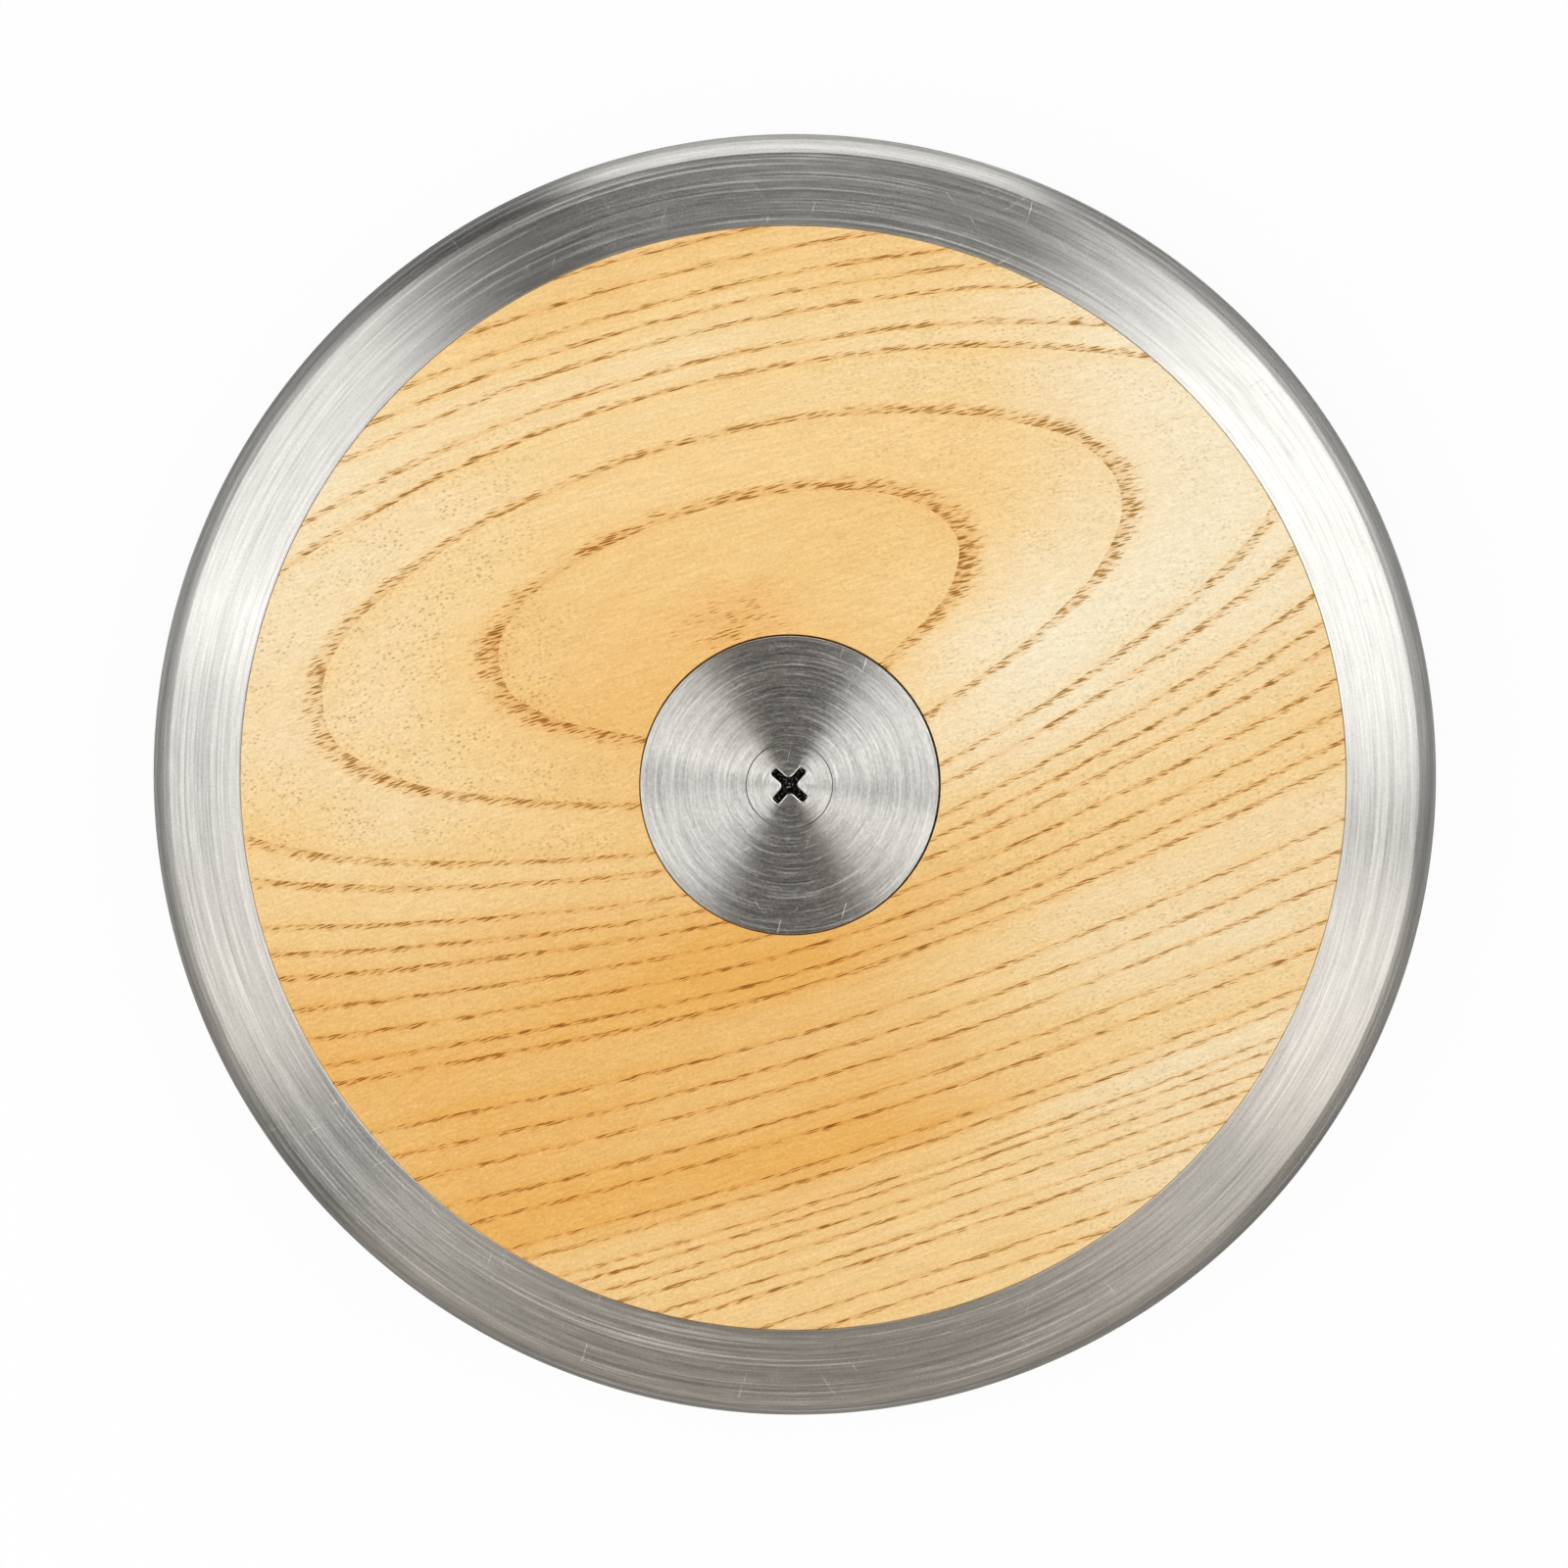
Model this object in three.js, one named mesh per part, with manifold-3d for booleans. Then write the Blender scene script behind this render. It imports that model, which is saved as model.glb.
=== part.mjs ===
// Throwing discus of the 2 kg class: a turned steel rim round two wooden sides, closed by two
// steel centre plates and two countersunk cross-recess screws that meet in a tapped steel core.
// Millimetres, +Z up along the spin axis, origin at the centre of the discus.
import * as THREE from 'three';
import { mergeVertices } from 'three/addons/utils/BufferGeometryUtils.js';
import Module from 'manifold-3d';

// Outside form: a flat centre, a straight taper on both sides and a rounded steel edge
const outerDiameter = 220;
const centreThickness = 45;
const plateDiameter = 50.5;
const gaugeInset = 6; // the rim's thickness is measured this far in from its edge
const gaugeThickness = 12.4;
const roundedEdgeWidth = 3.15; // the rounded edge, seen from above
const rimBandWidth = 15.6; // the whole steel band, seen from above

// Tongue inside the rim, which the two wooden sides close over
const tongueThickness = 5;
const tongueMargin = 2.25; // steel left in the tongue on each side of a dowel's hole
const tongueChamfer = 0.6;
const rimLipChamfer = 0.25;

// Steel dowels through the tongue, which key the rim to both sides
const dowelCount = 8;
const dowelDiameter = 5;
const dowelCover = 2.2; // wood left over the end of each dowel
const dowelChamfer = 0.5;

// Centre plates and the calibration shims under them
const plateWeb = 0.5; // steel left in the plate under the screw's head
const plateEdgeChamfer = 0.4;
const shimThickness = 1;
const shimsPerSide = 2;
const shimInset = 0.75; // how far a shim's edge stays inside the plate's
const shimHoleClearance = 0.5;

// Tapped core between the shims
const coreDiameter = 30;
const coreChamfer = 0.8;
const coreMouthDepth = 1; // 45 degree lead-in at each end of the thread

// Countersunk screws with a cross recess, one from each side
const screwDiameter = 8;
const screwHeadOverhang = 3.25; // how far the head stands out past the shank, down a 90 degree cone
const screwHeadLand = 0.75; // straight rim of the head above its cone
const screwEngagement = 9.5; // length of thread held in the core
const screwTipChamfer = 1;
const recessSpan = 8.4; // tip to tip of the cross, at the head's face
const recessFloorSpan = 3.6;
const recessWingWidth = 1.3;
const recessCoreDiameter = 3.4;
const recessDepth = 3.6;
const recessTurn = 3.4; // degrees that the cross is turned past the diagonals

// Clearances and joints
const woodGap = 0.1; // wood to steel, round the rim, the dowels and the core
const plateGap = 0.12; // plate and shims to the wood round them
const threadGap = 0.05; // screw to core, shims and plate
const cutOverrun = 1; // how far every cutter runs past the face it cuts

// Facets round a full turn
const bodySegments = 96;
const plateSegments = 64;
const screwSegments = 32;
const dowelSegments = 12;
const edgeArcSegments = 8;

const steel = { color: 0xb9b8b4, roughness: 0.34, metalness: 1 };
const plainSteel = { color: 0x9fa1a3, roughness: 0.45, metalness: 1 };
const ash = { color: 0xf2cd8b, roughness: 0.5, metalness: 0 };

// Sizes that follow from the ones above
const outerRadius = outerDiameter / 2;
const centreTop = centreThickness / 2;
const plateRadius = plateDiameter / 2;
const bandRadius = outerRadius - rimBandWidth; // where steel meets wood
const tongueTop = tongueThickness / 2;
const dowelRadius = dowelDiameter / 2;
const dowelCircleRadius = bandRadius - tongueMargin - dowelRadius;
const tongueRadius = dowelCircleRadius - dowelRadius - tongueMargin;
const screwRadius = screwDiameter / 2;
const screwHeadRadius = screwRadius + screwHeadOverhang;
const screwHeadHeight = screwHeadLand + screwHeadOverhang;
const plateSeat = centreTop - screwHeadHeight - plateWeb;
const coreTop = plateSeat - shimsPerSide * shimThickness; // also the floor of the wood's recess
const coreRadius = coreDiameter / 2;

// Height of the straight taper at a radius: it runs from the plate's edge through the gauge point.
const taperFall = (centreTop - gaugeThickness / 2) / (outerRadius - gaugeInset - plateRadius);
const taperHeight = (radius) => centreTop - (radius - plateRadius) * taperFall;
const dowelTop = taperHeight(dowelCircleRadius + dowelRadius) - dowelCover;

// The rounded edge is one circle about the mid-plane, through the crease and the outermost point.
const creaseRadius = outerRadius - roundedEdgeWidth;
const creaseHeight = taperHeight(creaseRadius);
const edgeCentre = (outerRadius + creaseRadius - creaseHeight ** 2 / roundedEdgeWidth) / 2;
const edgeRadius = outerRadius - edgeCentre;

const wasm = await Module();
wasm.setup();

const point = (radius, height) => new THREE.Vector2(radius, height);

// Mirrors a run of profile points below the mid-plane, in the order that closes the outline.
function mirrored(points) {
  return points.map((p) => point(p.x, -p.y)).reverse();
}

// Turns an outline of radius and height about Z. The outline runs upwards on its outer side,
// and an outline that leaves the axis closes on itself.
function turned(outline, segments) {
  const closed = outline[0].x === 0 ? outline : [...outline, outline[0]];
  return new THREE.LatheGeometry(closed, segments).rotateX(Math.PI / 2);
}

// A geometry as a solid that can be cut, with its shared vertices merged.
function solidOf(geometry) {
  geometry.deleteAttribute('normal');
  geometry.deleteAttribute('uv');
  const merged = mergeVertices(geometry);
  const vertProperties = merged.attributes.position.array;
  const triVerts = new Uint32Array(merged.index.array);
  return new wasm.Manifold(new wasm.Mesh({ numProp: 3, vertProperties, triVerts }));
}

// A cut solid back as a geometry.
function geometryOf(solid) {
  const mesh = solid.getMesh();
  const geometry = new THREE.BufferGeometry();
  geometry.setAttribute('position', new THREE.BufferAttribute(mesh.vertProperties, mesh.numProp));
  geometry.setIndex(new THREE.BufferAttribute(mesh.triVerts, 1));
  geometry.computeVertexNormals();
  return geometry;
}

// An upright pin from one height to another.
function pin(radius, bottom, top, segments) {
  const outline = [point(0, bottom), point(radius, bottom), point(radius, top), point(0, top)];
  return turned(outline, segments);
}

// The places of the dowels round the tongue, as x and y.
function dowelPlaces() {
  return Array.from({ length: dowelCount }, (_, k) => {
    const angle = ((k + 1 / 2) * 2 * Math.PI) / dowelCount;
    return [dowelCircleRadius * Math.cos(angle), dowelCircleRadius * Math.sin(angle)];
  });
}

// A solid with a hole for each dowel, from one height to another.
function drilledForDowels(solid, bottom, top) {
  return dowelPlaces().reduce((left, [x, y]) => {
    const drill = pin(dowelRadius + woodGap, bottom, top, dowelSegments).translate(x, y, 0);
    return left.subtract(solidOf(drill));
  }, solid);
}

// Rim: a tee-shaped ring, with its stem turned inwards as the tongue
function rimGeometry() {
  const lipHeight = taperHeight(bandRadius + rimLipChamfer);
  const startAngle = Math.atan2(creaseHeight, creaseRadius - edgeCentre);
  const upper = [
    point(bandRadius, tongueTop),
    point(bandRadius, lipHeight - rimLipChamfer),
    point(bandRadius + rimLipChamfer, lipHeight),
    point(creaseRadius, creaseHeight),
  ];
  const edge = Array.from({ length: edgeArcSegments - 1 }, (_, k) => {
    const angle = startAngle * (1 - (2 * (k + 1)) / edgeArcSegments);
    return point(edgeCentre + edgeRadius * Math.cos(angle), edgeRadius * Math.sin(angle));
  });
  const tongue = [
    point(tongueRadius, tongueTop - tongueChamfer),
    point(tongueRadius + tongueChamfer, tongueTop),
  ];
  const clockwise = [...tongue, ...upper, ...edge, ...mirrored(upper), ...mirrored(tongue)];
  const ring = solidOf(turned(clockwise.reverse(), bodySegments));
  const past = tongueTop + cutOverrun;
  return geometryOf(drilledForDowels(ring, -past, past));
}

// Wooden side: tapered outside, rebated over the tongue, bored for the core and recessed for the plate
function sideGeometry() {
  const outer = bandRadius - woodGap;
  const recess = plateRadius + plateGap;
  const bore = coreRadius + woodGap;
  const rebate = tongueTop + woodGap;
  const outline = [
    point(bore, 0),
    point(tongueRadius - woodGap, 0),
    point(tongueRadius - woodGap, rebate),
    point(outer, rebate),
    point(outer, taperHeight(outer)),
    point(recess, taperHeight(recess)),
    point(recess, coreTop),
    point(bore, coreTop),
  ];
  const block = solidOf(turned(outline, bodySegments));
  return geometryOf(drilledForDowels(block, rebate - cutOverrun, dowelTop + woodGap));
}

// Centre plate: a flat disc with a broken edge and a 90 degree countersink
function plateGeometry() {
  const hole = screwRadius + threadGap;
  const sink = screwHeadRadius + threadGap;
  const outline = [
    point(hole, plateSeat),
    point(plateRadius, plateSeat),
    point(plateRadius, centreTop - plateEdgeChamfer),
    point(plateRadius - plateEdgeChamfer, centreTop),
    point(sink, centreTop),
    point(sink, centreTop - screwHeadLand),
    point(hole, centreTop - screwHeadHeight),
  ];
  return turned(outline, plateSegments);
}

// Calibration shim: a thin flat washer, counted from the plate inwards
function shimGeometry(index) {
  const top = plateSeat - index * shimThickness;
  const bottom = plateSeat - (index + 1) * shimThickness;
  const hole = screwRadius + shimHoleClearance;
  const radius = plateRadius - shimInset;
  const outline = [point(hole, bottom), point(radius, bottom), point(radius, top), point(hole, top)];
  return turned(outline, plateSegments);
}

// Core: a turned steel bush, tapped right through, with broken edges
function coreGeometry() {
  const bore = screwRadius + threadGap;
  const upper = [
    point(coreRadius, coreTop - coreChamfer),
    point(coreRadius - coreChamfer, coreTop),
    point(bore + coreMouthDepth, coreTop),
    point(bore, coreTop - coreMouthDepth),
  ];
  return turned([...mirrored(upper), ...upper], plateSegments);
}

// Cutter for the cross recess: two crossed tapered wings over a tapered well
function recessCutter() {
  const slope = (recessSpan - recessFloorSpan) / 2 / recessDepth;
  const top = recessSpan / 2 + slope * cutOverrun;
  const floor = recessFloorSpan / 2;
  const side = new THREE.Shape([
    point(-floor, -recessDepth),
    point(floor, -recessDepth),
    point(top, cutOverrun),
    point(-top, cutOverrun),
  ]);
  const wing = () =>
    new THREE.ExtrudeGeometry(side, { depth: recessWingWidth, bevelEnabled: false })
      .translate(0, 0, -recessWingWidth / 2)
      .rotateX(Math.PI / 2);
  const well = recessCoreDiameter / 2;
  const wellOutline = [
    point(0, -recessDepth - recessWingWidth / 2),
    point(recessWingWidth / 2, -recessDepth),
    point(well, 0),
    point(well, cutOverrun),
    point(0, cutOverrun),
  ];
  const diagonal = Math.PI / 4 + THREE.MathUtils.degToRad(recessTurn);
  return solidOf(wing().rotateZ(diagonal))
    .add(solidOf(wing().rotateZ(diagonal + Math.PI / 2)))
    .add(solidOf(turned(wellOutline, screwSegments)));
}

// Screw: countersunk head flush with the plate, plain shank at the thread's outside size
function screwGeometry() {
  const tip = coreTop - screwEngagement;
  const outline = [
    point(0, tip),
    point(screwRadius - screwTipChamfer, tip),
    point(screwRadius, tip + screwTipChamfer),
    point(screwRadius, centreTop - screwHeadHeight),
    point(screwHeadRadius, centreTop - screwHeadLand),
    point(screwHeadRadius, centreTop),
    point(0, centreTop),
  ];
  const blank = solidOf(turned(outline, screwSegments));
  return geometryOf(blank.subtract(recessCutter().translate([0, 0, centreTop])));
}

// Dowel: a short pin with broken ends
function dowelGeometry() {
  const upper = [
    point(dowelRadius, dowelTop - dowelChamfer),
    point(dowelRadius - dowelChamfer, dowelTop),
    point(0, dowelTop),
  ];
  return turned([...mirrored(upper), ...upper], dowelSegments);
}

function named(name, geometry, look) {
  const mesh = new THREE.Mesh(geometry, new THREE.MeshStandardMaterial(look));
  mesh.name = name;
  return mesh;
}

// One face of the discus: its wooden side, plate, shims and screw
function half(where) {
  const group = new THREE.Group();
  group.add(named(`side_${where}`, sideGeometry(), ash));
  group.add(named(`centre_plate_${where}`, plateGeometry(), steel));
  for (let k = 0; k < shimsPerSide; k += 1) {
    group.add(named(`calibration_shim_${where}_${k + 1}`, shimGeometry(k), plainSteel));
  }
  group.add(named(`centre_screw_${where}`, screwGeometry(), steel));
  return group;
}

const discus = new THREE.Group();
discus.add(named('rim', rimGeometry(), steel));
discus.add(half('upper'));
const lowerHalf = half('lower');
lowerHalf.rotation.x = Math.PI; // both faces are identical, so the lower one is the upper one turned over
discus.add(lowerHalf);
discus.add(named('core', coreGeometry(), plainSteel));
dowelPlaces().forEach(([x, y], k) => {
  const dowel = named(`rim_dowel_${k + 1}`, dowelGeometry(), plainSteel);
  dowel.position.set(x, y, 0);
  discus.add(dowel);
});

export default discus;
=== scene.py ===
"""Throwing discus of the 2 kg class: steel rim, two wooden sides, steel centre plates and their screws."""

import math
from collections import namedtuple

import bmesh
import bpy
from mathutils import Matrix, Vector


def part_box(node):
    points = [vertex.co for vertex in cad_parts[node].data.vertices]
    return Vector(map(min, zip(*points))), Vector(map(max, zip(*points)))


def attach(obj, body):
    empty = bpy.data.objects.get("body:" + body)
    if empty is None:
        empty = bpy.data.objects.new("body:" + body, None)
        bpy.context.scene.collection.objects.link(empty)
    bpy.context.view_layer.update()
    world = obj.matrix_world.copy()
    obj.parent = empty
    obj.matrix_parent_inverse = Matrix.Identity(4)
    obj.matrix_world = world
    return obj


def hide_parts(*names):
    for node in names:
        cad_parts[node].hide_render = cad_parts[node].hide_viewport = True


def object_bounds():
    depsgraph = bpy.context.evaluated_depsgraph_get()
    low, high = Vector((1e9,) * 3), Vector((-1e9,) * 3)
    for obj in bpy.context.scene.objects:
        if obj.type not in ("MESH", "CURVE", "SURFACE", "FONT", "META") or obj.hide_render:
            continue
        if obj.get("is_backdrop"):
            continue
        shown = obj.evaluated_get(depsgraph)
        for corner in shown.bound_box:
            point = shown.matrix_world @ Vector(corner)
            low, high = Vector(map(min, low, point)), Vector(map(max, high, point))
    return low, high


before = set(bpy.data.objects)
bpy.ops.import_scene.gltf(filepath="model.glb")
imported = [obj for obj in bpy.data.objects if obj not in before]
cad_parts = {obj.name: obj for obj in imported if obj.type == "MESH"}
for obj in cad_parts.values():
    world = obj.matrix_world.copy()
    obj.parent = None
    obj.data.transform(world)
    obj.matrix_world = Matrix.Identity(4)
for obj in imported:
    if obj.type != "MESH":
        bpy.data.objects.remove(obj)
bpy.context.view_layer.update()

bl_info = {
    "name": "Throwing Discus",
    "version": (1, 0, 0),
    "blender": (4, 5, 0),
    "location": "View3D > Sidebar > Discus",
    "description": "Builds a wooden-sided throwing discus around its packed frame",
    "category": "Mesh",
}

MM = 0.001
BAKE_MAP = "OFBake"
HALVES = {"upper": 1, "lower": -1}

# Points closer than this are merged, in metres
WELD = 2e-6

# Turn between the points of a rounding, and the run beside it as a share of its radius
ROUND_STEP = math.radians(9)
ROUND_RUN = 0.3


def size_of(node):
    """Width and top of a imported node, in metres."""
    low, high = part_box(node)
    return high.x - low.x, high.z


RIM_WIDTH = size_of("rim")[0]
PLATE_WIDTH, PLATE_TOP = size_of("centre_plate_upper")
CORE_WIDTH, CORE_TOP = size_of("core")
SHIM_WIDTH, PLATE_SEAT = size_of("calibration_shim_upper_1")
DOWEL_TOP = size_of("rim_dowel_1")[1]


def length(name, description, default):
    """A length that the user may change, in metres."""
    return bpy.props.FloatProperty(
        name=name,
        description=description,
        default=default,
        min=0.0,
        subtype="DISTANCE",
        unit="LENGTH",
        precision=5,
    )


def linear(channel):
    """One channel of a display colour, from 0 to 255, as linear light."""
    share = channel / 255
    if share <= 0.04045:
        return share / 12.92
    return ((share + 0.055) / 1.055) ** 2.4


def colour(name, description, *channels):
    """A colour that the user may change, given as display red, green and blue."""
    return bpy.props.FloatVectorProperty(
        name=name,
        description=description,
        default=[linear(channel) for channel in channels],
        min=0.0,
        max=1.0,
        size=3,
        subtype="COLOR",
    )


class DiscusSizes(bpy.types.PropertyGroup):
    """Sizes of the discus's pieces."""

    outer_diameter: length("Outer diameter", "Across the steel rim", RIM_WIDTH)
    thickness: length("Thickness", "Over both centre plates", 2 * PLATE_TOP)
    plate_diameter: length("Plate diameter", "Across a centre plate", PLATE_WIDTH)
    plate_seat: length("Plate seat", "Height of a plate's underside", PLATE_SEAT)
    band_width: length("Steel band", "Rim seen from above", 15.6 * MM)
    edge_width: length("Rounded edge", "Rounded part of the rim seen from above", 3.15 * MM)
    gauge_inset: length("Gauge inset", "Where the rim's thickness is measured", 6 * MM)
    gauge_thickness: length("Gauge thickness", "Rim thickness at the gauge inset", 12.4 * MM)
    tongue_thickness: length("Tongue", "Thickness of the rim's inner tongue", 5 * MM)
    tongue_margin: length("Tongue margin", "Steel beside each dowel hole", 2.25 * MM)
    dowel_diameter: length("Dowel diameter", "Across a rim dowel", 5 * MM)
    dowel_height: length("Dowel height", "Half the length of a rim dowel", DOWEL_TOP)
    core_diameter: length("Core diameter", "Across the tapped core", CORE_WIDTH)
    core_height: length("Core height", "Half the length of the core", CORE_TOP)
    shim_diameter: length("Shim diameter", "Across a calibration shim", SHIM_WIDTH)
    shim_thickness: length("Shim thickness", "Thickness of one shim", 1 * MM)
    screw_diameter: length("Screw diameter", "Outside size of the thread", 8 * MM)
    screw_pitch: length("Thread pitch", "From one thread to the next", 1.25 * MM)
    screw_tip: length("Screw tip", "Height of the screw's end", 6.5 * MM)
    head_diameter: length("Head diameter", "Across the countersunk head", 14.5 * MM)
    head_land: length("Head land", "Straight rim of the screw's head", 0.75 * MM)
    recess_span: length("Recess span", "Cross recess, tip to tip", 7.7 * MM)
    recess_depth: length("Recess depth", "Depth of the cross recess", 3.6 * MM)
    wood_gap: length("Wood gap", "Wood to the steel inside it", 0.1 * MM)
    rim_gap: length("Rim gap", "Wood to the rim round it", 0.05 * MM)
    plate_gap: length("Plate gap", "Plate to the wood round it", 0.25 * MM)
    centre_play: length("Centre play", "How far the plates and core sit off the axis", 0.095 * MM)
    thread_gap: length("Thread gap", "Screw to the steel round it", 0.05 * MM)
    dowel_count: bpy.props.IntProperty(
        name="Dowels",
        description="Dowels through the rim's tongue",
        default=8,
        min=1,
    )


class DiscusFinish(bpy.types.PropertyGroup):
    """Colours of the discus's finishes."""

    pale_wood: colour("Pale wood", "Palest wood, towards one end of the board", 252, 240, 210)
    middle_wood: colour("Middle wood", "Wood of middling depth", 247, 212, 150)
    honey_wood: colour("Honey wood", "Deepest wood between the growth rings", 238, 181, 94)
    ring_wood: colour("Ring wood", "Stain of the early wood over the wood's own colour", 234, 192, 122)
    pore: colour("Pores", "Stain of the open pores over the wood's own colour", 167, 146, 75)
    steel: colour("Turned steel", "Rim, plates and screws", 235, 233, 228)
    plain_steel: colour("Plain steel", "Core, shims and dowels", 190, 191, 192)
    # The recess colour is painted shade: a dark steel that stands in for the shade inside the screw's
    # cross recess.
    recess: colour("Recess painted shade", "Steel in the screw's cross recess", 52, 49, 46)
    floor: colour("Floor", "Floor", 248, 248, 248)


def sizes():
    """The scene's sizes of the discus."""
    return bpy.context.scene.discus_sizes


def finish():
    """The scene's colours of the discus."""
    return bpy.context.scene.discus_finish


# Node trees, written as Python arithmetic


class Socket:
    """A node's output. Arithmetic on it adds Math nodes to its tree."""

    def __init__(self, tree, output):
        self.tree = tree
        self.output = output

    def maths(self, operation, *values):
        """The output of one Math node on these values."""
        return self.tree.add("ShaderNodeMath", {"operation": operation}, dict(enumerate(values)))

    def __add__(self, other):
        return self.maths("ADD", self, other)

    __radd__ = __add__

    def __sub__(self, other):
        return self.maths("SUBTRACT", self, other)

    def __rsub__(self, other):
        return self.maths("SUBTRACT", other, self)

    def __mul__(self, other):
        return self.maths("MULTIPLY", self, other)

    __rmul__ = __mul__

    def __truediv__(self, other):
        return self.maths("DIVIDE", self, other)

    def __mod__(self, other):
        return self.maths("FLOORED_MODULO", self, other)

    def root(self):
        """Its square root."""
        return self.maths("SQRT", self)

    def least(self, other):
        """The smaller of it and another value."""
        return self.maths("MINIMUM", self, other)

    def most(self, other):
        """The larger of it and another value."""
        return self.maths("MAXIMUM", self, other)


class Tree:
    """A node tree with one call that adds any node."""

    def __init__(self, nodes):
        self.nodes = nodes

    def add(self, kind, settings=None, values=None, output=0):
        """Adds a node: its settings first, then the values or links of its inputs."""
        node = self.nodes.nodes.new(kind)
        for name, setting in (settings or {}).items():
            if name == "stops":
                self.set_stops(node, setting)
            elif name == "points":
                self.set_points(node, setting)
            else:
                setattr(node, name, setting)
        for name, value in (values or {}).items():
            if isinstance(value, Socket):
                self.nodes.links.new(value.output, node.inputs[name])
            else:
                node.inputs[name].default_value = value
        return Socket(self, node.outputs[output]) if node.outputs else node

    @staticmethod
    def set_stops(node, stops):
        """Gives a colour ramp its stops, as pairs of place and colour."""
        ramp = node.color_ramp
        while len(ramp.elements) < len(stops):
            ramp.elements.new(1.0)
        for element, (place, tone) in zip(ramp.elements, stops):
            element.position = place
            element.color = (*tone, 1.0)

    @staticmethod
    def set_points(node, points):
        """Gives a float curve its points."""
        curve = node.mapping.curves[0]
        while len(curve.points) < len(points):
            curve.points.new(0.5, 0.5)
        for point, place in zip(curve.points, points):
            point.location = place
        node.mapping.update()

    def combine(self, x, y, z):
        """A vector of three values."""
        return self.add("ShaderNodeCombineXYZ", None, {0: x, 1: y, 2: z})

    def parts(self, vector):
        """The three values of a vector."""
        node = self.add("ShaderNodeSeparateXYZ", None, {0: vector}).output.node
        return [Socket(self, output) for output in node.outputs]

    def rise(self, value, start, end, low=0.0, high=1.0, smooth=False):
        """A value that goes from low to high while another goes from start to end."""
        ramp = {"interpolation_type": "SMOOTHSTEP" if smooth else "LINEAR", "clamp": True}
        return self.add("ShaderNodeMapRange", ramp, {0: value, 1: start, 2: end, 3: low, 4: high})

    def noise(self, x, y, z, detail=2.0, rough=0.5, scale=1.0):
        """Smooth noise at a place, from 0 to 1."""
        values = {"Vector": self.combine(x, y, z), "Scale": scale, "Detail": detail, "Roughness": rough}
        return self.add("ShaderNodeTexNoise", {"noise_dimensions": "3D"}, values)

    def cells(self, x, y, z):
        """Distance from the nearest of the seeds scattered one to a unit cube."""
        values = {"Vector": self.combine(x, y, z), "Scale": 1.0, "Randomness": 1.0}
        return self.add("ShaderNodeTexVoronoi", {"feature": "F1"}, values, "Distance")

    def blend(self, share, first, second, kind="MIX"):
        """A colour between two, or their product and the like."""
        settings = {"data_type": "RGBA", "blend_type": kind, "clamp_factor": True}
        return self.add("ShaderNodeMix", settings, {0: share, 6: first, 7: second}, 2)

    def shaded(self, tone, shade):
        """A colour times a brightness."""
        return self.blend(1.0, tone, self.combine(shade, shade, shade), "MULTIPLY")

    def bump(self, height, strength, distance):
        """The normal of a surface with small relief, its distance in millimetres."""
        values = {"Strength": strength, "Distance": distance * MM, "Height": height}
        return self.add("ShaderNodeBump", None, values)


def rgba(tone):
    """A colour as a node socket takes it."""
    return (*tone, 1.0)


def new_material(name):
    """A new material, its empty tree and the place on the piece in millimetres."""
    material = bpy.data.materials.new(name)
    material.use_nodes = True
    material.node_tree.nodes.clear()
    tree = Tree(material.node_tree)
    place = tree.add("ShaderNodeTexCoord", output="Object")
    scaled = tree.add("ShaderNodeVectorMath", {"operation": "SCALE"}, {0: place, "Scale": 1 / MM})
    return material, tree, tree.parts(scaled)


def surface(tree, values):
    """Ends a material in one Principled surface."""
    shader = tree.add("ShaderNodeBsdfPrincipled", None, values)
    tree.add("ShaderNodeOutputMaterial", None, {"Surface": shader})


# Turned pieces


def rotated(x, y, angle):
    """A place turned round the origin, in numbers or in sockets."""
    cosine, sine = math.cos(angle), math.sin(angle)
    return x * cosine - y * sine, x * sine + y * cosine


def soften(corners):
    """A profile whose corners (radius, height, rounding) are rounded, in millimetres."""
    points = []
    for index, (x, z, rounding) in enumerate(corners):
        corner = Vector((x, z))
        if rounding == 0:
            points.append(corner)
            continue
        before = Vector(corners[index - 1][:2])
        after = Vector(corners[(index + 1) % len(corners)][:2])
        arrive = (corner - before).normalized()
        leave = (after - corner).normalized()
        turn = arrive.angle_signed(leave)
        reach = rounding * math.tan(abs(turn) / 2)
        start = corner - arrive * reach
        side = Vector((-arrive.y, arrive.x)) * math.copysign(rounding, -turn)
        centre = start + side
        steps = max(2, math.ceil(abs(turn) / ROUND_STEP))
        points.append(start - arrive * rounding * ROUND_RUN)
        for step in range(steps + 1):
            points.append(centre + Vector(rotated(*(start - centre), -turn * step / steps)))
        points.append(corner + leave * (reach + rounding * ROUND_RUN))
    return points


def closed(corners):
    """A rounded profile that ends where it starts."""
    points = soften(corners)
    return points + points[:1]


def spread(points, inner, outer):
    """Places on the baked map for a run of profile points, by their distance along it."""
    steps = [0.0]
    for before, after in zip(points, points[1:]):
        steps.append(steps[-1] + (after - before).length)
    return [inner + (outer - inner) * step / steps[-1] for step in steps]


def geometry_tree(name, kinds):
    """A Geometry Nodes tree with a named input of each kind, and the sockets of its inputs."""
    nodes = bpy.data.node_groups.new(name, "GeometryNodeTree")
    for label, kind in kinds.items():
        nodes.interface.new_socket(label, in_out="INPUT", socket_type="NodeSocket" + kind)
    nodes.interface.new_socket("Piece", in_out="OUTPUT", socket_type="NodeSocketGeometry")
    tree = Tree(nodes)
    given = tree.add("NodeGroupInput").output.node
    return tree, [Socket(tree, output) for output in given.outputs[: len(kinds)]]


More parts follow.
